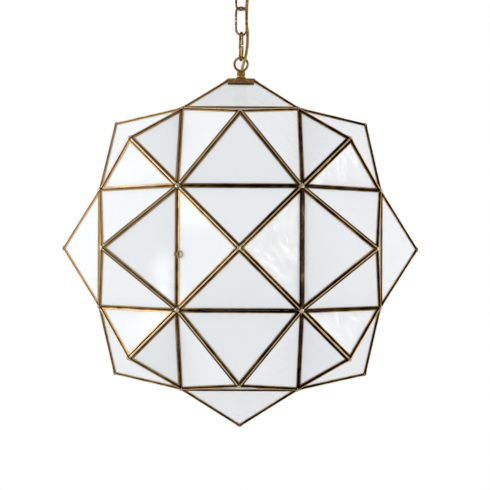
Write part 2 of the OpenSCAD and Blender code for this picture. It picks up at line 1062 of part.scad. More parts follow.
module canopy() {
    color(brass)
        difference() {
            rotate_extrude($fn = 96)
                polygon(concat(
                    [
                        [canopy_r - canopy_t, 0],
                        [canopy_r + 1.6, 0],
                        [canopy_r + 1.6, -1.6],
                        [canopy_r, -2.4]
                    ],
                    canopy_curve(0),
                    [
                        [boss_r, -canopy_h + 2],
                        [boss_r, -canopy_h],
                        [stud_r + seat, -canopy_h],
                        [stud_r + seat, -canopy_h + canopy_t],
                        [boss_r - canopy_t, -canopy_h + canopy_t],
                        [boss_r - canopy_t, -canopy_h + 2 + canopy_t]
                    ],
                    backwards(canopy_curve(canopy_t))
                ));
            for (side = [-1, 1])
                translate([side * canopy_r, 0, ear_hole_z])
                    rotate([0, 90, 0])
                        cylinder(r = ear_screw_r + 0.3, h = 4 * ear_gap, center = true, $fn = 24);
        }
}

// Strap screwed to the ceiling, with a bent ear at each end
module ceiling_bracket() {
    color(steel)
        difference() {
            union() {
                translate([-ear_x, -bracket_w / 2, -bracket_t])
                    cube([2 * ear_x, bracket_w, bracket_t]);
                for (side = [-1, 1])
                    translate([side * (ear_x - bracket_t / 2), 0, -ear_h / 2])
                        cube([bracket_t, ear_w, ear_h], center = true);
            }
            for (side = [-1, 1]) {
                translate([side * screw_pitch / 2, 0, -bracket_t - 1])
                    cylinder(r = screw_hole_r, h = bracket_t + 2);
                translate([side * ear_x, 0, ear_hole_z])
                    rotate([0, 90, 0])
                        cylinder(r = ear_screw_r + seat, h = 4 * bracket_t, center = true);
            }
        }
}

// Thumb screws through the canopy's rim into the ears
module canopy_screws() {
    reach = canopy_r + seat;
    color(bright_brass)
        for (side = [0, 180])
            rotate([0, 0, side])
                translate([0, 0, ear_hole_z])
                    rotate([0, 90, 0]) {
                        translate([0, 0, ear_x - 2 * bracket_t])
                            cylinder(r = ear_screw_r, h = reach - ear_x + 2 * bracket_t);
                        translate([0, 0, reach])
                            cylinder(r = screw_head_r, h = screw_head_h);
                        translate([0, 0, reach + screw_head_h])
                            cylinder(
                                r1 = screw_head_r, r2 = screw_head_r - screw_head_edge,
                                h = screw_head_edge, $fn = 32
                            );
                    }
}

module canopy_nut() {
    color(brass)
        translate([0, 0, -canopy_h - canopy_nut_h])
            difference() {
                union() {
                    translate([0, 0, 1.2])
                        cylinder(r = canopy_nut_r, h = canopy_nut_h - 1.2 - seat);
                    cylinder(r1 = canopy_nut_r - 1.2, r2 = canopy_nut_r, h = 1.2);
                }
                translate([0, 0, -1])
                    cylinder(r = stud_r + seat, h = canopy_nut_h + 2);
            }
}

module canopy_loop() {
    color(brass)
        translate([0, 0, canopy_loop_z])
            rotate([180, 0, 0])
                rotate([0, 0, -canopy_loop_turn])
                    loop(90);
}

module canopy_stud() {
    low = canopy_loop_z - socket_depth + seat;
    high = -canopy_h + canopy_t + nut_h + 2;
    color(steel)
        translate([0, 0, low])
            hollow_stud(high - low);
}

module canopy_stud_nut() {
    color(steel)
        translate([0, 0, -canopy_h + canopy_t + seat])
            lock_nut();
}

// Clamp that takes the cable's pull, on the end of the stud
module cord_grip() {
    low = -canopy_h + canopy_t + nut_h + 2 * seat;
    color("#d8d2c4")
        translate([0, 0, low])
            difference() {
                union() {
                    cylinder(r = stud_r + 2, h = grip_h);
                    translate([0, -grip_w / 2, 0])
                        cube([stud_r + 4.5, grip_w, grip_h]);
                }
                translate([0, 0, -1])
                    cylinder(r = stud_r + seat, h = 1 + 2);
                translate([0, 0, -1])
                    cylinder(r = cable_r + seat, h = grip_h + 2);
            }
}

module terminal_block() {
    color("#ece8dc")
        difference() {
            translate([block_x0, -block_w / 2, -bracket_t - block_h - seat])
                cube([block_l, block_w, block_h]);
            for (k = [0 : 1])
                translate([block_x0 + block_l * (k + 0.5) / 2, 0, -bracket_t - block_h - 1])
                    cylinder(r = 2, h = 5, $fn = 24);
        }
}

// A hinge knuckle: tube on the hinge line with a leaf soldered to its strip
module knuckle(length, leaf_turn) {
    difference() {
        union() {
            cylinder(r = knuckle_r, h = length, center = true);
            rotate([0, 0, leaf_turn])
                translate([-0.4, -knuckle_r - 0.3 + seat, -length / 2])
                    cube([leaf_w, leaf_t, length]);
        }
        cylinder(r = hinge_bore_r, h = length + 2, center = true);
    }
}

module on_hinge() {
    translate([hinge_x, hinge_y, lamp_z])
        children();
}

// The leaf of the lantern's knuckles lies on the strip to the right of the hinge
module hinge_knuckles() {
    color(bright_brass)
        on_hinge()
            for (side = [-1, 1])
                translate([0, 0, side * knuckle_pitch / 2])
                    mirror([0, 1, 0])
                        knuckle(knuckle_len, square_slope - 45);
}

module hinge_pin() {
    color(steel)
        on_hinge()
            cylinder(r = hinge_pin_r, h = hinge_len, center = true);
}

module door_hinge_tubes() {
    inner = knuckle_pitch - knuckle_len - 2 * knuckle_gap;
    outer = (hinge_len - knuckle_pitch - knuckle_len) / 2 - 2 * knuckle_gap;
    color(brass)
        on_hinge()
            mirror([1, 0, 0])
                mirror([0, 1, 0]) {
                    knuckle(inner, square_slope);
                    for (side = [-1, 1])
                        translate([0, 0,
                            side * ((knuckle_pitch + knuckle_len + outer) / 2 + knuckle_gap)])
                            knuckle(outer, square_slope);
                }
}

module door_glass() {
    in_lantern()
        on_door()
            square_point_glass(base_gap = seam_gap / 2 + door_gap);
}

module door_cames() {
    in_lantern()
        on_door()
            square_point_cames(base_gap = seam_gap / 2 + door_gap);
}

module door_solder() {
    in_lantern()
        on_door() {
            square_beads();
            tip_blob(point_h);
        }
}

// Frame on the door's left strip: X runs up the pane, Z away from it
module on_door_strip() {
    in_lantern()
        on_door()
            rotate([0, 0, -90])
                on_square_pane()
                    children();
}

module latch_pivot() {
    color(brass)
        on_door_strip()
            translate([-latch_seat, -latch_z, latch_tube_r + seat])
                rotate([90, 0, 0])
                    difference() {
                        cylinder(r = latch_tube_r, h = latch_tube_h, center = true, $fn = 32);
                        cylinder(r = latch_wire_r + turn, h = latch_tube_h + 2, center = true,
                            $fn = 32);
                    }
}

// Wire bent to a D, with its straight side in the pivot tube
module latch_loop() {
    bend = latch_h / 2 - latch_wire_r;
    reach = latch_len - bend;
    color(bright_brass)
        on_door_strip()
            translate([-latch_seat, -latch_z, latch_tube_r + seat]) {
                rotate([90, 0, 0])
                    cylinder(r = latch_wire_r, h = 2 * bend, center = true, $fn = 32);
                for (side = [-1, 1])
                    translate([0, side * bend, 0]) {
                        sphere(r = latch_wire_r, $fn = 32);
                        rotate([0, -90, 0])
                            cylinder(r = latch_wire_r, h = reach, $fn = 32);
                    }
                translate([-reach, 0, 0])
                    rotate([0, 0, 90])
                        rotate_extrude(angle = 180)
                            translate([bend, 0])
                                circle(r = latch_wire_r, $fn = 32);
            }
}

// Hook on the strip of the point to the left of the door
module latch_catch() {
    color(bright_brass)
        in_lantern()
            on_face(-135, 0, square_dist)
                rotate([0, 0, 90])
                    on_square_pane()
                        translate([-catch_from, latch_z, seat])
                            rotate([90, 0, 0])
                                linear_extrude(catch_h, center = true)
                                    polygon([
                                        [0, 0], [0, catch_out], [-catch_w, catch_out],
                                        [-catch_w, catch_out - 0.7], [-0.8, catch_out - 0.7],
                                        [-0.8, 0]
                                    ]);
}

ceiling_bracket();
canopy();
canopy_screws();
canopy_nut();
canopy_loop();
canopy_stud();
canopy_stud_nut();
cord_grip();
terminal_block();
canopy_cable();
chain_link_1();
chain_link_2();
chain_link_3();
cable_1();
cable_2();
cable_3();
cable_4();
lantern_loop();
loop_washer();
top_cap();
lantern_stud();
lantern_stud_nut();
stem_tube();
stem_cable();
lampholder_cap();
lampholder_skirt();
lampholder_insert();
screw_shell();
centre_contact();
bulb_cap();
bulb_glass();
glass_top();
glass_upper_squares();
glass_upper_corners();
glass_belt_squares();
glass_belt_diagonals();
glass_lower_squares();
glass_lower_corners();
glass_bottom();
came_top();
came_upper_squares();
came_upper_corners();
came_belt_squares();
came_belt_diagonals();
came_lower_squares();
came_lower_corners();
came_bottom();
ridge_solder();
valley_solder();
solder_blobs();
hinge_knuckles();
hinge_pin();
latch_catch();
door_glass();
door_cames();
door_solder();
door_hinge_tubes();
latch_pivot();
latch_loop();
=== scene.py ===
import bpy
import bmesh
import math
from mathutils import Matrix, Vector


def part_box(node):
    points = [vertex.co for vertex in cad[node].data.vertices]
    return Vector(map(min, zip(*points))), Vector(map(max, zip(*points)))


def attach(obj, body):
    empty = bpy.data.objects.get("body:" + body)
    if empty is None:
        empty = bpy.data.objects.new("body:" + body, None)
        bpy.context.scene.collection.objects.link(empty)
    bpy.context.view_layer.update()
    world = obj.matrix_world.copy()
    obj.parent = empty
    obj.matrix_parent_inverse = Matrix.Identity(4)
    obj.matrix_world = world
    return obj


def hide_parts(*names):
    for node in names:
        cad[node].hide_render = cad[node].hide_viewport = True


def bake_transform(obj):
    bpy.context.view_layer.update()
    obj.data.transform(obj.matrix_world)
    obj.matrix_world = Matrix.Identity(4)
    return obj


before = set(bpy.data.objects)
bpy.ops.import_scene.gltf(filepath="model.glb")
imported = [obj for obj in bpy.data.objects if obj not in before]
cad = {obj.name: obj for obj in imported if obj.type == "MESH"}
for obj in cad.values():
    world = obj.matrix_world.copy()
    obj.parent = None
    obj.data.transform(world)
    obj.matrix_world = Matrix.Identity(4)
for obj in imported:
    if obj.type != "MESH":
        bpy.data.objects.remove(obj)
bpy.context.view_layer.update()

bpy.ops.object.select_all(action="DESELECT")


# Camera: level with the middle of the lantern and 1.27 m in front of it, with
# a long lens that keeps the points of the star nearly parallel.
lamp_centre = Vector((0, 0, -0.310791))
camera_from_lamp = Vector((0.00644, -1.26856, -0.00666))
camera_yaw = math.radians(0.0842)
camera_pitch = math.radians(0.4743)
camera_roll = math.radians(-0.2439)
look_ahead = math.radians(90)

camera = bpy.data.objects.new("camera", bpy.data.cameras.new("camera"))
camera.data.sensor_width = 36
camera.data.lens = 95.43
camera.data.clip_start = 0.05
camera.matrix_world = (
    Matrix.Translation(lamp_centre + camera_from_lamp)
    @ Matrix.Rotation(camera_yaw, 4, "Z")
    @ Matrix.Rotation(camera_pitch, 4, "X")
    @ Matrix.Rotation(camera_roll, 4, "Y")
    @ Matrix.Rotation(look_ahead, 4, "X")
)
bpy.context.scene.collection.objects.link(camera)
bpy.context.scene.camera = camera


# Cable: three conductors in a round braid of bronze-gold thread, 3 mm thick.
# It comes out of the lantern's loop, runs up beside the chain and goes in at
# the canopy's loop, so it bends a little at each place where the chain hinges.
mm = 0.001
cable_radius = 1.5 * mm
cable_sides = 12
braid_pitch = 4.2 * mm
braid_strands = 5
braid_relief = 0.15 * mm
route_steps = 5

# Points of its route in millimetres, from the lantern's loop to the canopy's
cable_route = [
    (0, 0, -143), (0, 0, -141.4), (1.2, -2.9, -134.4), (2.2, -4, -130.6),
    (3.6, -4.2, -126.4), (4.7, -3.6, -122), (5.4, -2.4, -117), (6, -0.6, -111.5),
    (6.2, 1.4, -106), (6.2, 3.4, -101.8), (6.3, 5.4, -98), (5.5, 6.1, -93),
    (5.2, 6.1, -87.6),
    (5.2, 6.1, -82), (5.3, 5.9, -76), (5.6, 5.2, -70), (6, 4, -64),
    (6.2, 2.4, -58.4), (5.9, 0.6, -53), (5, -0.9, -48), (2.75, -1.6, -42),
    (0, 0, -35), (0, 0, -33.4),
]
# From there inside the canopy to its terminals
canopy_route = [
    (0, 0, -33.4), (0, 0, -24), (0, 0, -14), (1.6, -3.6, -9.6), (6, -9.6, -7.6),
    (12, -13.6, -7), (16.6, -14, -7), (18.6, -11.4, -7), (18.6, -8.1, -7),
]
# Each stretch beside the chain: its CAD node, its first and last point, the
# bodies above and below it, and the heights in metres between which it bends
stretches = [
    ("cable_4", 0, 7, "link_3", "lantern", -0.1135, -0.1365),
    ("cable_3", 7, 12, "link_2", "link_3", -0.0905, -0.1105),
    ("cable_2", 12, 16, "link_1", "link_2", -0.0665, -0.0865),
    ("cable_1", 16, 22, "canopy", "link_1", -0.0430, -0.0630),
]


def linear(hex_colour):
    """sRGB hex to the linear colour that a socket takes."""
    def channel(value):
        return value / 12.92 if value <= 0.04045 else ((value + 0.055) / 1.055) ** 2.4
    return [channel(int(hex_colour[i:i + 2], 16) / 255) for i in (1, 3, 5)] + [1.0]


def add_node(owner, kind, settings=None, stops=None, **inputs):
    """Adds a node. Each input, by its name or as _ and its number where several
    share a name, takes a value or the socket that feeds it."""
    tree = owner.node_tree
    made = tree.nodes.new(kind)
    for name, value in (settings or {}).items():
        setattr(made, name, value)
    for name, value in inputs.items():
        socket = made.inputs[int(name[1:]) if name[0] == "_" else name.replace("_", " ")]
        if isinstance(value, bpy.types.NodeSocket):
            tree.links.new(value, socket)
        else:
            socket.default_value = value
    for i, (place, colour) in enumerate(stops or []):
        elements = made.color_ramp.elements
        element = elements[i] if i < 2 else elements.new(place)
        element.position = place
        element.color = linear(colour)
    return made


def finish(name, **sockets):
    """A material, its shader with these sockets set, and its object coordinates."""
    material = bpy.data.materials.new(name)
    material.use_nodes = True
    shader = material.node_tree.nodes["Principled BSDF"]
    for key, value in sockets.items():
        shader.inputs[key.replace("_", " ")].default_value = value
    place = add_node(material, "ShaderNodeTexCoord").outputs["Object"]
    return material, shader, place


def feed(material, shader, **sockets):
    """Links what varies over the surface to the shader."""
    for key, socket in sockets.items():
        material.node_tree.links.new(socket, shader.inputs[key.replace("_", " ")])


# Braided sheath: matt thread with a silky sheen, crossing in two directions.
# A real thread is 0.3 mm and too fine to show, so what is drawn is a strand of
# several threads, 0.8 mm wide.
braid, shader, place = finish("braided_gold_thread", Roughness=0.38, Metallic=0.75)
along = add_node(braid, "ShaderNodeUVMap", {"uv_map": "along"}).outputs["UV"]
split = add_node(braid, "ShaderNodeSeparateXYZ", Vector=along)
crossing = []
for direction in (1, -1):
    turn = add_node(braid, "ShaderNodeMath", {"operation": "MULTIPLY"},
                    _0=split.outputs["X"], _1=direction * braid_strands * 2 * math.pi)
    climb = add_node(braid, "ShaderNodeMath", {"operation": "MULTIPLY_ADD"},
                     _0=split.outputs["Y"], _1=math.pi * braid_strands / braid_pitch,
                     _2=turn.outputs[0])
    crossing.append(add_node(braid, "ShaderNodeMath", {"operation": "SINE"},
                             _0=climb.outputs[0]).outputs[0])
weave = add_node(braid, "ShaderNodeMath", {"operation": "MULTIPLY"},
                 _0=crossing[0], _1=crossing[1])
weave_height = add_node(braid, "ShaderNodeMapRange", Value=weave.outputs[0],
                        From_Min=-1.0, From_Max=1.0)
# The tone follows the weave's height: painted shade in the dips between strands, and a
# painted highlight on their crowns
sheath_tone = add_node(braid, "ShaderNodeValToRGB", Fac=weave_height.outputs[0], stops=[
    (0.0, "#463014"), (0.45, "#B48D4C"), (1.0, "#EFCE85")])
weave_bump = add_node(braid, "ShaderNodeBump", Height=weave_height.outputs[0],
                      Strength=0.6, Distance=braid_relief)
feed(braid, shader, Base_Color=sheath_tone.outputs["Color"],
     Normal=weave_bump.outputs["Normal"])


def smooth_route(points):
    """Catmull-Rom curve through points given in millimetres."""
    points = [Vector(p) * mm for p in points]
    ends = [2 * points[0] - points[1]] + points + [2 * points[-1] - points[-2]]
    route = []
    for a, b, c, d in zip(ends, ends[1:], ends[2:], ends[3:]):
        for k in range(route_steps):
            t = k / route_steps
            route.append(0.5 * (2 * b + (c - a) * t + (2 * a - 5 * b + 4 * c - d) * t ** 2
                                + (3 * b - a - 3 * c + d) * t ** 3))
    return route + [points[-1]]


def new_object(name, mesh):
    piece = bpy.data.objects.new(name, mesh)
    bpy.context.scene.collection.objects.link(piece)
    return piece


def cable_tube(name, route, run):
    """Tube along a route; its UV runs round (0 to 1) and along, in metres."""
    mesh = bpy.data.meshes.new(name)
    shape = bmesh.new()
    uv = shape.loops.layers.uv.new("along")
    side = Vector((1, 0, 0))
    rings, runs = [], []
    for i, point in enumerate(route):
        ahead = (route[min(i + 1, len(route) - 1)] - route[max(i - 1, 0)]).normalized()
        side = (side - ahead * side.dot(ahead)).normalized()
        over = ahead.cross(side)
        if i:
            run += (point - route[i - 1]).length
        rings.append([shape.verts.new(point + cable_radius * (
            math.cos(turn) * side + math.sin(turn) * over))
            for turn in (2 * math.pi * k / cable_sides for k in range(cable_sides))])
        runs.append(run)
    for near, far, start, end in zip(rings, rings[1:], runs, runs[1:]):
        for k in range(cable_sides):
            after = (k + 1) % cable_sides
            face = shape.faces.new((near[k], near[after], far[after], far[k]))
            face.smooth = True
            corners = [(k, start), (k + 1, start), (k + 1, end), (k, end)]
            for loop, (turn, length) in zip(face.loops, corners):
                loop[uv].uv = (turn / cable_sides, length)
    shape.faces.new(rings[0][::-1])
    shape.faces.new(rings[-1])
    shape.to_mesh(mesh)
    shape.free()
    return new_object(name, mesh)


def braided(node, route, run=0.0):
    """One stretch of cable in place of its CAD node; also how far it has run."""
    cable = cable_tube("braided_" + node, route, run)
    cable.data.materials.append(braid)
    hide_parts(node)
    return cable, run + sum((b - a).length for a, b in zip(route, route[1:]))


whole_route = smooth_route(cable_route)
run = 0.0
for node, first, last, above, below, high, low in stretches:
    cable, run = braided(node, whole_route[route_steps * first:route_steps * last + 1], run)
    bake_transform(cable)
inside = braided("canopy_cable", smooth_route(canopy_route), run)[0]
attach(inside, "canopy")
low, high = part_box("stem_cable")
inside = braided("stem_cable", [Vector((0, 0, z)) for z in (low[2], high[2])])[0]
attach(inside, "lantern")


# Panes of the star: flat triangles of white opal sheet glass, 3 mm thick, cut
# by hand and held in the strips. The sheet is rolled while hot, which leaves
# slow ripples that show only where something bright reflects in them.
opal_depth = 6 * mm
glass_cloud = 70 * mm
glass_ripple = 12 * mm
ripple_height = 1.2 * mm
ripple_lean = -0.95
ripple_stretch = (0.5, 1.6, 1.4)

# How much the ripples show on the left, level with the door, and elsewhere, and
# how wide the change is from one to the next
still, calm, lively = 0.03, 0.2, 0.8
half_door = 55 * mm
left_fade, door_fade, level_fade = 15 * mm, 3 * mm, 1 * mm
# The stem's painted shade in the top panes, which are the ones above this height
top_panes_foot, foot_fade = -175 * mm, 5 * mm
stem_shade_reach, stem_shade_edge = 6.8 * mm, 1.2 * mm
stem_shade = 0.955


def dress(material, *names):
    """Gives CAD nodes their finish."""
    for name in names:
        cad[name].data.materials.clear()
        cad[name].data.materials.append(material)


# Rolled opal sheet glass: milky white right through, so it looks softly lit
# from within, under a clear fire-polished skin that mirrors the windows
opal, shader, place = finish(
    "white_opal_sheet_glass", Roughness=0.5, IOR=1.52, Specular_IOR_Level=0.0,
    Subsurface_Weight=0.6, Subsurface_Radius=(1.0, 1.0, 1.0), Subsurface_Scale=opal_depth,
    Coat_Weight=1.0, Coat_IOR=1.52, Coat_Roughness=0.06)
cloud = add_node(opal, "ShaderNodeTexNoise", Vector=place, Scale=1 / glass_cloud,
                 Detail=2.0)
opal_tone = add_node(opal, "ShaderNodeValToRGB", Fac=cloud.outputs["Fac"], stops=[
    (0.35, "#F1F8FF"), (0.65, "#F6FBFF")])
spot = add_node(opal, "ShaderNodeSeparateXYZ", Vector=place)

# Painted shade: the stem close behind the top panes is drawn as a faint grey band along the
# middle of each of them
off_axis = [add_node(opal, "ShaderNodeMath", {"operation": "ABSOLUTE"},
                     _0=spot.outputs[axis]).outputs[0] for axis in ("X", "Y")]
from_stem = add_node(opal, "ShaderNodeMath", {"operation": "MINIMUM"},
                     _0=off_axis[0], _1=off_axis[1])
shaded = add_node(opal, "ShaderNodeMapRange", Value=from_stem.outputs[0],
                  From_Min=stem_shade_reach - stem_shade_edge, From_Max=stem_shade_reach,
                  To_Min=stem_shade, To_Max=1.0)
top_shaded = add_node(opal, "ShaderNodeMapRange", Value=spot.outputs["Z"],
                      From_Min=top_panes_foot - foot_fade,
                      From_Max=top_panes_foot + foot_fade,
                      To_Min=1.0, To_Max=shaded.outputs[0])
opal_seen = add_node(opal, "ShaderNodeVectorMath", {"operation": "SCALE"},
                     _0=opal_tone.outputs["Color"], Scale=top_shaded.outputs[0])

# The panes on the left, and those level with the door on its right, were cut
# from flatter parts of the sheet
beside_door = add_node(opal, "ShaderNodeMapRange", Value=spot.outputs["X"],
                       From_Min=half_door - door_fade, From_Max=half_door + door_fade,
                       To_Min=lively, To_Max=calm)
rise = add_node(opal, "ShaderNodeMath", {"operation": "SUBTRACT"},
                _0=spot.outputs["Z"], _1=lamp_centre.z)
off_level = add_node(opal, "ShaderNodeMath", {"operation": "ABSOLUTE"},
                     _0=rise.outputs[0])
on_right = add_node(opal, "ShaderNodeMapRange", Value=off_level.outputs[0],
                    From_Min=half_door - door_fade, From_Max=half_door + level_fade,
                    To_Min=beside_door.outputs[0], To_Max=lively)
waviness = add_node(opal, "ShaderNodeMapRange", Value=spot.outputs["X"],
                    From_Min=-left_fade, From_Max=0.0,
                    To_Min=still, To_Max=on_right.outputs[0])

# Ripples lean the way the roller drew them, and stretch along it
drawn = add_node(opal, "ShaderNodeMapping", {"vector_type": "TEXTURE"}, Vector=place,
                 Rotation=(0, ripple_lean, 0), Scale=ripple_stretch)
ripple = add_node(opal, "ShaderNodeTexNoise", Vector=drawn.outputs["Vector"],
                  Scale=1 / glass_ripple, Detail=2.0, Roughness=0.35, Distortion=0.8)
ripple_bump = add_node(opal, "ShaderNodeBump", Height=ripple.outputs["Fac"],
                       Strength=waviness.outputs[0], Distance=ripple_height)
feed(opal, shader, Base_Color=opal_seen.outputs[0],
     Coat_Normal=ripple_bump.outputs["Normal"])
dress(opal, "door_glass", *[name for name in cad if name.startswith("glass_")])


# Strips: sheet brass 0.5 mm thick, folded over the edges of every pane, mitred
# at its corners and blackened with patina after soldering. Rubbing has brought
# the folds beside the glass back to gold, and left the grooves nearly black.
fold_radius = 0.3 * mm
fold_steps = 2
fold_angle = math.radians(28)
strip_trim = 0.12
weld_gap = 0.001 * mm
same_corner = 0.9
edge_tint = "#75593A"
patina_blotch = 12 * mm
patina_grain = 1.1 * mm
grain_depth = 0.12 * mm
blotch_share, grain_share = 0.4, 0.3
matt, satin = 0.5, 0.24
matt_wear, satin_wear = 0.3, 0.8

# A painted reflection of the windows lightens the patina more and more towards the upper
# left, over this stretch
towards_window = (-1, 0, 0.3)
sheen_from, sheen_to = -150 * mm, 50 * mm
# Strips within this reach of the lantern's middle lie in a valley, and those
# nearer than this to the middle of the door are drawn darker
valley_reach, valley_edge = 152 * mm, 5 * mm
groove_half, groove_end = 46 * mm, 56 * mm
# A painted shadow along a lower edge: how far its line waves, how much darker it
# is, and the heights from the edge between which it fades
rim_wave, rim_shadow_depth = 3 * mm, -0.5
rim_low, rim_high = -1.1 * mm, -0.1 * mm


def patinated(name, stops, worn=0.0, rubbed=0.0, painted_sheen=0.0, groove=0.0,
              blotch=patina_blotch, turned=False, rim=None):
    """Brass with a dark patina, from its darkest to its lightest stop. Worn shows
    more of the lighter end everywhere, and rubbed where the piece's own attribute
    says that it was rubbed. The third amount is a painted reflection of the
    windows, which lightens the tone more and more towards the upper left. Groove
    darkens the strips in the valleys round the door, and rim is the height of a
    lower edge along which a wavy painted shadow runs. On a turned piece the grain
    runs round its axis, as the lathe's tool left it."""
    material, shader, place = finish(name, Metallic=1.0, Specular_Tint=linear(edge_tint))
    spot = add_node(material, "ShaderNodeSeparateXYZ", Vector=place)
    # Painted reflection of the windows: the tone lightens towards the upper left
    leftward = add_node(material, "ShaderNodeVectorMath", {"operation": "DOT_PRODUCT"},
                        _0=place, _1=towards_window)
    wear_and_painted_light = add_node(material, "ShaderNodeMapRange", Value=leftward.outputs["Value"],
                    From_Min=sheen_from, From_Max=sheen_to,
                    To_Min=worn, To_Max=worn + painted_sheen).outputs[0]
    # Darker in the valleys round the door
    if groove:
        sunk = add_node(material, "ShaderNodeVectorMath", {"operation": "DISTANCE"},
                        _0=place, _1=lamp_centre)
        valley = add_node(material, "ShaderNodeMapRange", Value=sunk.outputs["Value"],
                          From_Min=valley_reach - valley_edge, From_Max=valley_reach,
                          To_Min=1.0, To_Max=0.0)
        from_middle = add_node(material, "ShaderNodeMath", {"operation": "ABSOLUTE"},
                               _0=spot.outputs["X"])
        darker_by_door = add_node(material, "ShaderNodeMapRange", Value=from_middle.outputs[0],
                              From_Min=groove_half, From_Max=groove_end,
                              To_Min=groove, To_Max=0.0)
        wear_and_painted_light = add_node(material, "ShaderNodeMath", {"operation": "MULTIPLY_ADD"},
                        _0=valley.outputs[0], _1=darker_by_door.outputs[0], _2=wear_and_painted_light).outputs[0]
    blotches = add_node(material, "ShaderNodeTexNoise", Vector=place,
                        Scale=1 / blotch, Detail=2.0, Roughness=0.5)
    # Painted shadow: an uneven dark line along the lower edge
    if rim is not None:
        uneven = add_node(material, "ShaderNodeMath", {"operation": "MULTIPLY_ADD"},
                          _0=blotches.outputs["Fac"], _1=-rim_wave, _2=spot.outputs["Z"])
        edge = add_node(material, "ShaderNodeMapRange", Value=uneven.outputs[0],
                        From_Min=rim + rim_low, From_Max=rim + rim_high,
                        To_Min=rim_shadow_depth, To_Max=0.0)
        wear_and_painted_light = add_node(material, "ShaderNodeMath", {"operation": "ADD"},
                        _0=edge.outputs[0], _1=wear_and_painted_light).outputs[0]
    if turned:
        flat = add_node(material, "ShaderNodeVectorMath", {"operation": "MULTIPLY"},
                        _0=place, _1=(1, 1, 0))
        from_axis = add_node(material, "ShaderNodeVectorMath", {"operation": "LENGTH"},
                             _0=flat.outputs[0])
        place = add_node(material, "ShaderNodeCombineXYZ", X=from_axis.outputs["Value"],
                         Z=spot.outputs["Z"]).outputs[0]
    grain = add_node(material, "ShaderNodeTexNoise", Vector=place,
                     Scale=1 / patina_grain, Detail=3.0, Roughness=0.6)
    rub = add_node(material, "ShaderNodeAttribute", {"attribute_name": "rub"})
    for share, source in ((rubbed, rub), (grain_share, grain), (blotch_share, blotches)):
        wear_and_painted_light = add_node(material, "ShaderNodeMath", {"operation": "MULTIPLY_ADD"},
                        _0=source.outputs["Fac"], _1=share, _2=wear_and_painted_light).outputs[0]
    tone = add_node(material, "ShaderNodeValToRGB", Fac=wear_and_painted_light, stops=stops)
    rough = add_node(material, "ShaderNodeMapRange", Value=wear_and_painted_light,
                     From_Min=matt_wear, From_Max=satin_wear, To_Min=matt, To_Max=satin)
    bump = add_node(material, "ShaderNodeBump", Height=grain.outputs["Fac"], Strength=0.3,
                    Distance=grain_depth)
    feed(material, shader, Base_Color=tone.outputs["Color"], Roughness=rough.outputs[0],
         Normal=bump.outputs["Normal"])
    return material


# Patinated brass strip: nearly black where it lies deep, and dull gold along
# the folds; lighter on the left, where the windows' reflection is painted in
strip_patina = patinated("patinated_brass_strip", [
    (0.30, "#090503"), (0.40, "#37260F"), (0.55, "#795B36"), (0.77, "#DDB880")],
    worn=-0.1, rubbed=0.42, painted_sheen=0.34, groove=-0.1)


def edit(piece, kind="VERT", chosen=False):
    """Edit mode on one piece, with everything or nothing selected."""
    bpy.ops.object.select_all(action="DESELECT")
    piece.select_set(True)
    bpy.context.view_layer.objects.active = piece
    bpy.ops.object.mode_set(mode="EDIT")
    bpy.ops.mesh.select_mode(type=kind)
    bpy.ops.mesh.select_all(action="SELECT" if chosen else "DESELECT")


def leave():
    bpy.ops.object.mode_set(mode="OBJECT")


def copy_of(node, name):
    """A new piece from a CAD node, its loose triangles joined up."""
    piece = new_object(name, cad[node].data.copy())
    edit(piece, chosen=True)
    bpy.ops.mesh.remove_doubles(threshold=weld_gap)
    leave()
    return piece


def loose_parts(piece):
    """The vertices of each separate solid of a piece."""
    points = piece.data.vertices
    reach = {point.index: set() for point in points}
    for side in piece.data.edges:
        a, b = side.vertices
        reach[a].add(b)
        reach[b].add(a)
    left, parts = set(reach), []
    while left:
        found, front = set(), {left.pop()}
        while front:
            found |= front
            front = set().union(*(reach[i] for i in front)) - found
        left -= found
        parts.append([points[i] for i in sorted(found)])
    return parts


def middle(points):
    return sum(points, Vector()) / len(points)


def corners_of(part, centre):
    """Groups the points of one strip frame by the corner of the pane."""
    groups = []
    for point in part:
        way = (point.co - centre).normalized()
        for group in groups:
            if way.dot((group[0].co - centre).normalized()) > same_corner:
                group.append(point)
                break
        else:
            groups.append([point])
    return groups


def mark_rubbed(piece):
    """Rub is 0 at the back of each strip and 1 at its fold beside the glass,
    which is trimmed a little where the cutter ran along it."""
    rub = piece.data.attributes.new("rub", "FLOAT", "POINT")
    for part in loose_parts(piece):
        centre = middle([point.co for point in part])
        for group in corners_of(part, centre):
            far = [(point.co - centre).length for point in group]
            width = max(far) - min(far)
            for point, reach in zip(group, far):
                share = (max(far) - reach) / width
                rub.data[point.index].value = share
                point.co += (point.co - centre).normalized() * share * strip_trim * width


def round_edges(piece, width):
    """Rounds the edges of a piece or of a CAD node, whose triangles are welded."""
    piece.modifiers.new("weld", "WELD").merge_threshold = weld_gap
    edge = piece.modifiers.new("round", "BEVEL")
    edge.width = width
    edge.segments = fold_steps
    edge.limit_method = "ANGLE"
    edge.angle_limit = fold_angle


for node in [name for name in cad if name.startswith("came_")] + ["door_cames"]:
    strips = copy_of(node, "folded_" + node)
    mark_rubbed(strips)
    round_edges(strips, fold_radius)
    strips.data.materials.clear()
    strips.data.materials.append(strip_patina)
    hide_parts(node)
    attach(strips, "door" if node == "door_cames" else "lantern")


# Solder: a bead run along every ridge between two strips, thicker where it
# meets the blobs at its ends, then gilded with the rest. It was laid by hand,
# so it swells and thins along its length.
bead_sides = 10
bead_share = 0.62
bead_cut = 2 * mm
bead_end_ring = 0.1 * mm
bead_end_swell = 1.35
bead_end_reach = 7 * mm
bead_ripple = 5 * mm
bead_swell = 0.2 * mm
shortest_bead = 20 * mm
crest_start, crest_end = 0.2, 0.8

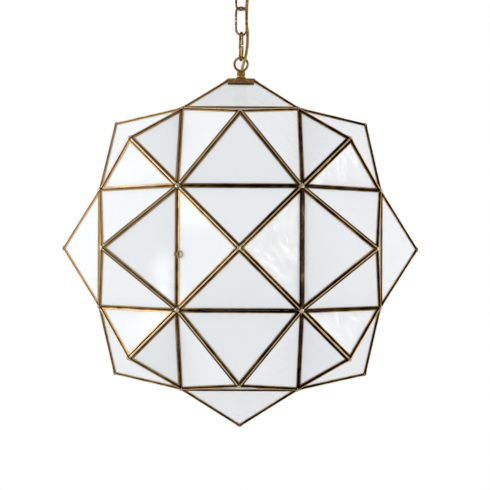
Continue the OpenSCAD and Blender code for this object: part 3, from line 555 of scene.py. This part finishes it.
# Gilded solder: brighter than the strips along its crest, which is what a hand
# or a cloth meets first, and black at its foot; like the strips, it is lighter
# towards the upper left, where the windows' reflection is painted in
gilded = patinated("gilded_solder", [
    (0.30, "#090503"), (0.43, "#3A2611"), (0.57, "#BA8F58"), (0.74, "#FFE3B3")],
    worn=-0.1, rubbed=0.52, painted_sheen=0.22)


def axis_of(points):
    """Both ends and the radius of a round bar."""
    one = max(points, key=lambda p: (p - points[0]).length)
    two = max(points, key=lambda p: (p - one).length)
    way = (two - one).normalized()
    reach = [(p - one).dot(way) for p in points]
    half = (min(reach) + max(reach)) / 2
    start = middle([p for p, r in zip(points, reach) if r < half])
    end = middle([p for p, r in zip(points, reach) if r >= half])
    way = (end - start).normalized()
    radius = max(((p - start) - way * (p - start).dot(way)).length for p in points)
    return start, end, radius


def length_of(bar):
    start, end, _ = bar
    return (end - start).length


def pick(parts, test):
    """Selects the vertices, edges or faces that pass a test, in edit mode."""
    leave()
    for part in parts:
        part.select = bool(test(part))
    bpy.ops.object.mode_set(mode="EDIT")


def mark_crest(piece, height, start=crest_start, end=crest_end):
    """Rub rises from 0 to 1 with a point's height over the strips."""
    rub = piece.data.attributes.new("rub", "FLOAT", "POINT")
    for point in piece.data.vertices:
        share = (height(point.co) - start) / (end - start)
        rub.data[point.index].value = min(1, max(0, share))


def model_bead(radius, length):
    """A straight bead along Z with its crest on X, swollen at both ends."""
    bpy.ops.mesh.primitive_cylinder_add(vertices=bead_sides, radius=radius, depth=length)
    bead = bpy.context.object
    bead.name = "bead_pattern"
    edit(bead, "EDGE")
    points = bead.data.vertices
    pick(bead.data.edges, lambda side: abs(
        points[side.vertices[0]].co.z - points[side.vertices[1]].co.z) > length / 2)
    bpy.ops.mesh.subdivide(number_cuts=round(length / bead_cut))
    leave()
    edit(bead)
    pick(bead.data.vertices,
         lambda point: abs(point.co.z) > length / 2 - bead_end_ring)
    bpy.ops.transform.resize(
        value=(bead_end_swell, bead_end_swell, 1), use_proportional_edit=True,
        proportional_edit_falloff="SMOOTH", proportional_size=bead_end_reach,
        center_override=(0, 0, 0))
    leave()
    bead.data.shade_smooth()
    mark_crest(bead, lambda co: co.x / Vector((co.x, co.y)).length)
    return bead


def lay(pattern, name, places):
    """One piece from copies of a pattern, each put in place by a matrix."""
    joined = bmesh.new()
    for place in places:
        copy = pattern.data.copy()
        copy.transform(place)
        joined.from_mesh(copy)
        bpy.data.meshes.remove(copy)
    mesh = bpy.data.meshes.new(name)
    joined.to_mesh(mesh)
    joined.free()
    return new_object(name, mesh)


def roughen(piece, size, depth, level=0.5):
    """Uneven surface of metal that set by hand; depth is from low to high."""
    texture = bpy.data.textures.new(piece.name, "CLOUDS")
    texture.noise_scale = size
    texture.noise_depth = 1
    uneven = piece.modifiers.new("uneven", "DISPLACE")
    uneven.texture = texture
    uneven.texture_coords = "LOCAL"
    uneven.strength = depth
    uneven.mid_level = level
    bpy.ops.object.select_all(action="DESELECT")
    piece.select_set(True)
    bpy.context.view_layer.objects.active = piece
    bpy.ops.object.modifier_apply(modifier=uneven.name)


def along_line(start, end, pattern_length):
    """Puts a pattern's Z on a line, stretched to fit, and turns its X outward."""
    way = (end - start).normalized()
    out = (start + end) / 2 - lamp_centre
    out = (out - way * out.dot(way)).normalized()
    turn = Matrix((out, way.cross(out), way)).transposed().to_4x4()
    stretch = Matrix.Diagonal((1, 1, (end - start).length / pattern_length, 1))
    return Matrix.Translation((start + end) / 2) @ turn @ stretch


def lay_beads(parts, name, body):
    """Beads in place of round bars: one pattern for each radius."""
    bars = [bar for bar in map(axis_of, parts) if length_of(bar) > shortest_bead]
    pieces = []
    for radius in sorted({round(bar[2] / mm, 1) for bar in bars}):
        same = [bar for bar in bars if round(bar[2] / mm, 1) == radius]
        length = max(map(length_of, same))
        bead = model_bead(bead_share * radius * mm, length)
        piece = lay(bead, f"{name}_{len(pieces) + 1}", [
            along_line(start, end, length) for start, end, _ in same])
        bpy.data.objects.remove(bead)
        roughen(piece, bead_ripple, bead_swell)
        piece.data.materials.append(gilded)
        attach(piece, body)
        pieces.append(piece)
    return pieces


def solids_of(node):
    """The points of each separate solid of a CAD node."""
    piece = copy_of(node, node + "_copy")
    parts = [[point.co.copy() for point in part] for part in loose_parts(piece)]
    bpy.data.objects.remove(piece)
    return parts


ridge_beads = lay_beads(solids_of("ridge_solder"), "ridge_beads", "lantern")
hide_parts("ridge_solder")

# Dull solder: the hidden bead behind each valley, between the strips of two
# points, was never rubbed, so it stays dark and gives the gaps their depth
valley_solder = patinated("dull_solder", [(0.3, "#120C07"), (0.7, "#33230F")])
dress(valley_solder, "valley_solder")


# Pools: where the strips of several points meet, and on every tip, the solder
# was melted into a low pool that closes the gaps at the mitres.
pool_spread = 1.05
pool_height = 0.5
pool_ripple = 3 * mm
pool_swell = 0.5 * mm
rubbed_from, rubbed_to = -0.9, 0.1

bpy.ops.mesh.primitive_ico_sphere_add(subdivisions=4, radius=1)
drop = bpy.context.object
drop.name = "drop_pattern"
edit(drop, chosen=True)
bpy.ops.transform.resize(value=(pool_spread, pool_spread, pool_height))
leave()
drop.data.shade_smooth()
mark_crest(drop, lambda co: co.z / pool_height, start=rubbed_from, end=rubbed_to)


def pools(parts, name, body, node):
    """Pools of solder in place of a node's balls, flat side along the shell."""
    places = []
    for part in parts:
        centre = middle(part)
        radius = sum((point - centre).length for point in part) / len(part)
        outward = (centre - lamp_centre).to_track_quat("Z", "Y").to_matrix().to_4x4()
        places.append(Matrix.Translation(centre) @ outward @ Matrix.Scale(radius, 4))
    piece = lay(drop, name, places)
    roughen(piece, pool_ripple, pool_swell, level=1.0)
    piece.data.materials.append(gilded)
    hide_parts(node)
    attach(piece, body)


pools(solids_of("solder_blobs"), "solder_pools", "lantern", "solder_blobs")


# Door: the front point of the star, with its own strips and beads, so that it
# swings out whole on the tubes and pin at its right-hand edge. A loop of brass
# wire in a small pivot on its left strip turns over a catch to keep it shut.
tube_edge = 0.15 * mm

door_bars = solids_of("door_solder")
lay_beads(door_bars, "door_beads", "door")
ball = min(door_bars, key=lambda part: length_of(axis_of(part)))
pools([ball], "door_tip_pool", "door", "door_solder")
bpy.data.objects.remove(drop)

# Hinge tube: drawn brass with a thinner patina than the strips, mottled gold
# where the door turns on it
hinge_patina = patinated("patinated_hinge_tube", [
    (0.32, "#160F08"), (0.44, "#54402A"), (0.52, "#8E6E46"), (0.62, "#D5B27C")],
    worn=0.12)
dress(hinge_patina, "door_hinge_tubes", "hinge_knuckles", "hinge_pin")
round_edges(cad["door_hinge_tubes"], tube_edge)
round_edges(cad["hinge_knuckles"], tube_edge)
# Latch: fingers keep it rubbed, so it is the brightest brass on the lantern
latch_gold = patinated("rubbed_brass_latch", [
    (0.34, "#4A3218"), (0.48, "#A67C45"), (0.60, "#E8CB92"), (0.76, "#FFF1CE")],
    worn=0.2)
dress(latch_gold, "latch_catch", "latch_pivot", "latch_loop")


# Cap, loop and chain: a square of brass with its four sides folded down over
# the top panes, a washer and a cast loop screwed through it, and links bent
# from brass wire. All have the same patina, thinner on what hands touch.
fitting_blotch = 3 * mm
cap_blotch = 4 * mm
cap_edge = 0.25 * mm
washer_edge = 0.2 * mm

# Cast and bent fittings: dark in small spots, bright yellow gold between them
fitting_patina = patinated("patinated_brass_fitting", [
    (0.38, "#120B04"), (0.46, "#5E431C"), (0.55, "#C39A50"), (0.67, "#FDE19C")],
    worn=0.165, blotch=fitting_blotch)
dress(fitting_patina, "chain_link_1", "chain_link_2", "chain_link_3", "lantern_loop",
      "loop_washer", "canopy_loop", "canopy_nut", "stem_tube")
# Brushed cap: flat bronze with an uneven painted shadow line along its lower edge
cap_patina = patinated("brushed_brass_cap", [
    (0.36, "#2E2010"), (0.46, "#967547"), (0.56, "#C39C63"), (0.68, "#F2D29C")],
    worn=0.24, blotch=cap_blotch, rim=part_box("top_cap")[0][2])
dress(cap_patina, "top_cap")
round_edges(cad["top_cap"], cap_edge)
round_edges(cad["loop_washer"], washer_edge)


# Lampholder and bulb: a domed brass cap and ribbed skirt round a porcelain
# insert with its screw shell, and a frosted globe bulb with a zinc cap. They
# screw together on the stem inside the lantern.


def grained(name, low, high, grain, depth, squeeze=(1, 1, 1), **sockets):
    """A finish that drifts between two tones over a grain of a real size."""
    material, shader, place = finish(name, **sockets)
    spread = add_node(material, "ShaderNodeMapping", Vector=place, Scale=squeeze)
    noise = add_node(material, "ShaderNodeTexNoise", Vector=spread.outputs["Vector"],
                     Scale=1 / grain, Detail=3.0, Roughness=0.55)
    tone = add_node(material, "ShaderNodeValToRGB", Fac=noise.outputs["Fac"],
                    stops=[(0.36, low), (0.64, high)])
    bump = add_node(material, "ShaderNodeBump", Height=noise.outputs["Fac"], Strength=0.4,
                    Distance=depth)
    feed(material, shader, Base_Color=tone.outputs["Color"],
         Normal=bump.outputs["Normal"])
    return material


# Lacquered brass keeps its gold; polishing on a lathe left fine lines round it
lacquered = grained("lacquered_brass", "#B98F4A", "#D9B26C", 1.2 * mm, 0.05 * mm,
                    squeeze=(0.25, 0.25, 6), Metallic=1.0, Roughness=0.24)
dress(lacquered, "lampholder_cap", "lampholder_skirt", "screw_shell", "centre_contact")
# Zinc plate on steel is a cool grey with a faint spangle
zinc = grained("zinc_plated_steel", "#9EA3A6", "#BCC0C2", 2.5 * mm, 0.03 * mm,
               Metallic=1.0, Roughness=0.36)
dress(zinc, "ceiling_bracket", "canopy_stud", "canopy_stud_nut", "lantern_stud",
      "lantern_stud_nut", "bulb_cap")
# Glazed porcelain: warm white under a clear glassy coat with slow waves
porcelain = grained("glazed_porcelain", "#E6E1D6", "#F2EEE5", 6 * mm, 0.1 * mm,
                    Roughness=0.3, Coat_Weight=1.0, Coat_Roughness=0.06)
dress(porcelain, "lampholder_insert")
# Glass etched inside, so it spreads the light and shows nothing of its wires
frosted = grained("etched_bulb_glass", "#EFEFEA", "#F7F6F1", 0.8 * mm, 0.03 * mm,
                  Roughness=0.35, Transmission_Weight=0.5)
dress(frosted, "bulb_glass")


# Canopy: spun from sheet brass, and held to its bracket by two screws, knurled
# so that they turn with two fingers. It hides a nylon cable grip and terminals.
canopy_blotch = 30 * mm
knurl_edge = 0.1 * mm
knurl_depth = 0.25 * mm
side_face, knurl_from = 0.1, 0.9
facet_angle = math.radians(0.5)

# Spun brass: warm bronze that drifts slowly, with fine turning lines round it
spun_patina = patinated("spun_brass_canopy", [
    (0.34, "#4A3319"), (0.46, "#8A6533"), (0.58, "#AD8345"), (0.72, "#D9B371")],
    worn=0.15, blotch=canopy_blotch, turned=True)
dress(spun_patina, "canopy")
# Moulded nylon is milky white with the fine texture of its mould
nylon = grained("moulded_nylon", "#E2DFD5", "#EFECE4", 0.9 * mm, 0.05 * mm,
                Roughness=0.45)
dress(nylon, "cord_grip", "terminal_block")

low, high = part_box("canopy_screws")
screw_axis = Vector((0, (low[1] + high[1]) / 2, (low[2] + high[2]) / 2))
head_radius = (high[2] - low[2]) / 2


def on_head(face):
    """Whether a face is one of the flats round a screw's head."""
    from_axis = (face.center - screw_axis) * Vector((0, 1, 1))
    sideways = abs(face.normal.x) < side_face
    return sideways and from_axis.length > knurl_from * head_radius


screws = copy_of("canopy_screws", "knurled_canopy_screws")
edit(screws, "FACE", chosen=True)
bpy.ops.mesh.dissolve_limited(angle_limit=facet_angle)
pick(screws.data.polygons, on_head)
bpy.ops.mesh.inset(thickness=knurl_edge, depth=-knurl_depth, use_individual=True)
leave()
screws.data.materials.clear()
screws.data.materials.append(lacquered)
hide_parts("canopy_screws")
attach(screws, "canopy")


# Studio: a pale floor far below the hanging lamp, which fades to the white of
# the backdrop. Windows on the left and beside the camera, and two narrow ones
# on the right, each light the panes that mirror their direction.
floor_size = 14
floor_sides = 96
floor_height = -2.0
fade_from = 1.5
mirrored_floor = 0.5
room_white = 0.98
dim_behind_camera = 0.3
behind_from, behind_to = -0.4, 0.3
dim_ceiling = 0.65
overhead_from, overhead_to = 0.3, 0.6

# Each window: its direction from the lamp, how far off it is, its width and
# height in metres, its brightness beside the backdrop's 1, and its colour
windows = [
    ("window_left", (-0.95, -0.272, 0.225), 1.31, (0.8, 0.5), 2.5, "#F2F7FF"),
    ("window_sill", (-0.95, -0.285, -0.105), 1.31, (0.5, 0.13), 2.4, "#F2F7FF"),
    ("window_low", (-0.957, 0.09, -0.288), 1.31, (0.5, 0.45), 0.7, "#F8FAFF"),
    ("window_front", (-0.343, -0.938, -0.044), 1.597, (0.03, 0.13), 5.0, "#F6FAFF"),
    ("window_front_right", (0.33, -0.94, 0.01), 1.5, (0.6, 0.6), 1.0, "#FCFDFF"),
    ("window_right_back", (0.95, -0.03, 0.0), 1.4, (0.04, 1.0), 8.0, "#FFF8EC"),
    ("window_right_front", (0.948, -0.31, 0.035), 1.36, (0.08, 0.15), 6.5, "#FFF0D8"),
]
for name, towards, distance, size, radiance, colour in windows:
    lamp = bpy.data.lights.new(name, "AREA")
    lamp.shape = "RECTANGLE"
    lamp.size, lamp.size_y = size
    lamp.energy = radiance * math.pi * size[0] * size[1]
    lamp.color = linear(colour)[:3]
    holder = bpy.data.objects.new(name, lamp)
    way = Vector(towards).normalized()
    holder.location = lamp_centre + way * distance
    holder.rotation_euler = way.to_track_quat("Z", "Y").to_euler()
    bpy.context.scene.collection.objects.link(holder)

# Painted floor: matt, and dimmer in what mirrors it, so that the metal's
# undersides stay dark
floor_paint, shader, place = finish("pale_floor", Roughness=0.6)
away = add_node(floor_paint, "ShaderNodeVectorMath", {"operation": "LENGTH"}, _0=place)
fade = add_node(floor_paint, "ShaderNodeMapRange", {"interpolation_type": "SMOOTHSTEP"},
                Value=away.outputs["Value"], From_Min=fade_from, From_Max=floor_size / 2)
floor_tone = add_node(floor_paint, "ShaderNodeValToRGB", Fac=fade.outputs[0], stops=[
    (0.0, "#F8F8F7"), (1.0, "#000000")])
path = add_node(floor_paint, "ShaderNodeLightPath")
mirrored = add_node(floor_paint, "ShaderNodeMapRange",
                    Value=path.outputs["Is Glossy Ray"],
                    To_Min=1.0, To_Max=mirrored_floor)
dimmed = add_node(floor_paint, "ShaderNodeVectorMath", {"operation": "SCALE"},
                  _0=floor_tone.outputs["Color"], Scale=mirrored.outputs[0])
glow = add_node(floor_paint, "ShaderNodeMath", {"operation": "MULTIPLY"},
                _0=fade.outputs[0], _1=mirrored.outputs[0])
shader.inputs["Emission Color"].default_value = linear("#FFFFFF")
feed(floor_paint, shader, Base_Color=dimmed.outputs[0],
     Emission_Strength=glow.outputs[0])
bpy.ops.mesh.primitive_circle_add(vertices=floor_sides, radius=floor_size / 2,
                                  fill_type="NGON")
floor = bpy.context.object
floor.name = "floor"
edit(floor, chosen=True)
bpy.ops.transform.translate(value=(0, 0, floor_height))
leave()
floor.data.materials.append(floor_paint)

# Backdrop: white to the camera and through glass, and a room that gets darker
# behind the camera and overhead to what the metal and glass mirror
world = bpy.data.worlds.new("studio")
world.use_nodes = True
bpy.context.scene.world = world
path = add_node(world, "ShaderNodeLightPath")
towards = add_node(world, "ShaderNodeTexCoord")
split = add_node(world, "ShaderNodeSeparateXYZ", Vector=towards.outputs["Generated"])
room = add_node(world, "ShaderNodeMapRange", Value=split.outputs["Y"],
                From_Min=behind_from, From_Max=behind_to,
                To_Min=dim_behind_camera, To_Max=1.0)
ceiling = add_node(world, "ShaderNodeMapRange", Value=split.outputs["Z"],
                   From_Min=overhead_from, From_Max=overhead_to,
                   To_Min=1.0, To_Max=dim_ceiling)
mirrored = add_node(world, "ShaderNodeMath", {"operation": "MULTIPLY"},
                    _0=room.outputs[0], _1=ceiling.outputs[0])
light = add_node(world, "ShaderNodeMapRange", Value=path.outputs["Is Glossy Ray"],
                 To_Min=room_white, To_Max=mirrored.outputs[0])
seen = add_node(world, "ShaderNodeMath", {"operation": "MAXIMUM"},
                _0=path.outputs["Is Camera Ray"], _1=path.outputs["Is Transmission Ray"])
strength = add_node(world, "ShaderNodeMath", {"operation": "MAXIMUM"},
                    _0=seen.outputs[0], _1=light.outputs[0])
sky = world.node_tree.nodes["Background"]
sky.inputs["Color"].default_value = (1, 1, 1, 1)
world.node_tree.links.new(strength.outputs[0], sky.inputs["Strength"])

bpy.context.scene.view_settings.view_transform = "Standard"
